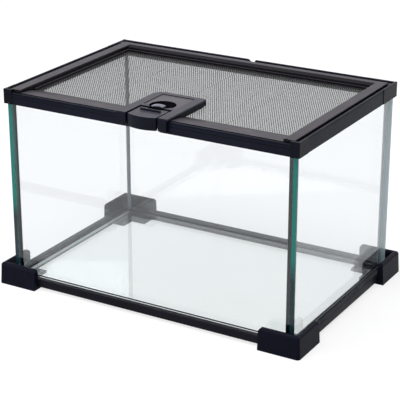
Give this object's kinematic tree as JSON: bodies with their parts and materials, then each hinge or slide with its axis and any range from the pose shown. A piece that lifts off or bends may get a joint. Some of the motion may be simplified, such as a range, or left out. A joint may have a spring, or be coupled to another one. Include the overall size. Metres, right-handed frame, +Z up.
{
  "type": "reptile terrarium",
  "caption": "Small glass terrarium with corner feet, plastic rim, hinged mesh lid, push-button latch and lock dial.",
  "frame": {"origin": "centre of the plane that the four feet stand on", "axes": "+X along the long side, to the right seen from the latch side; -Y towards the latch side; +Z up"},
  "size_m": [0.318, 0.218, 0.193],
  "materials": {
    "glass": "clear float glass, 4 mm",
    "frame_plastic": "moulded black plastic, satin gloss",
    "foot_plastic": "moulded black plastic, fine matt",
    "silicone": "black silicone",
    "mesh": "black coated steel mesh",
    "steel": "plain steel"
  },
  "bodies": {
    "tank": {"back_glass": "glass", "base_glass": "glass", "base_seal": "silicone", "bottom_rail_back": "frame_plastic", "bottom_rail_front": "frame_plastic", "bottom_rail_left": "frame_plastic", "bottom_rail_right": "frame_plastic", "corner_seals": "silicone", "foot_back_left": "foot_plastic", "foot_back_right": "foot_plastic", "foot_front_left": "foot_plastic", "foot_front_right": "foot_plastic", "front_glass": "glass", "hinge_pins": "steel", "latch_keeper_rail": "frame_plastic", "left_glass": "glass", "right_glass": "glass", "rim_corner_back_left": "frame_plastic", "rim_corner_back_right": "frame_plastic", "rim_corner_front_left": "frame_plastic", "rim_corner_front_right": "frame_plastic", "rim_rail_back": "frame_plastic", "rim_rail_front_left": "frame_plastic", "rim_rail_front_right": "frame_plastic", "rim_rail_left": "frame_plastic", "rim_rail_right": "frame_plastic"},
    "lid": {"clamp_plate": "frame_plastic", "dial_washer": "frame_plastic", "housing_floor": "frame_plastic", "housing_panel": "frame_plastic", "housing_screws": "steel", "latch_housing": "frame_plastic", "latch_springs": "steel", "lid_back_rail": "frame_plastic", "lid_corner_left": "frame_plastic", "lid_corner_right": "frame_plastic", "lid_end_plugs": "frame_plastic", "lid_front_rail": "frame_plastic", "lid_side_rail_left": "frame_plastic", "lid_side_rail_right": "frame_plastic", "mesh_retainer": "mesh", "mesh_screen": "mesh"},
    "button": {"latch_button": "frame_plastic", "latch_tongue": "frame_plastic", "button_fork": "frame_plastic"},
    "dial": {"lock_dial": "frame_plastic"}
  },
  "joints": [
    {"name": "lid_hinge", "type": "hinge", "parent": "tank", "child": "lid", "pos_m": [0, 0.0904, 0.1892], "axis": [-1, 0, 0], "range_deg": [0, 110]},
    {"name": "button_slide", "type": "slide", "parent": "lid", "child": "button", "axis": [0, 1, 0], "range_m": [0, 0.0025], "stiffness_N_per_m": 400, "springref_m": -0.003, "deforming": ["latch_springs"]},
    {"name": "dial_turn", "type": "hinge", "parent": "lid", "child": "dial", "pos_m": [0, -0.068, 0.189], "axis": [0, 0, 1], "range_deg": [0, 90]}
  ]
}
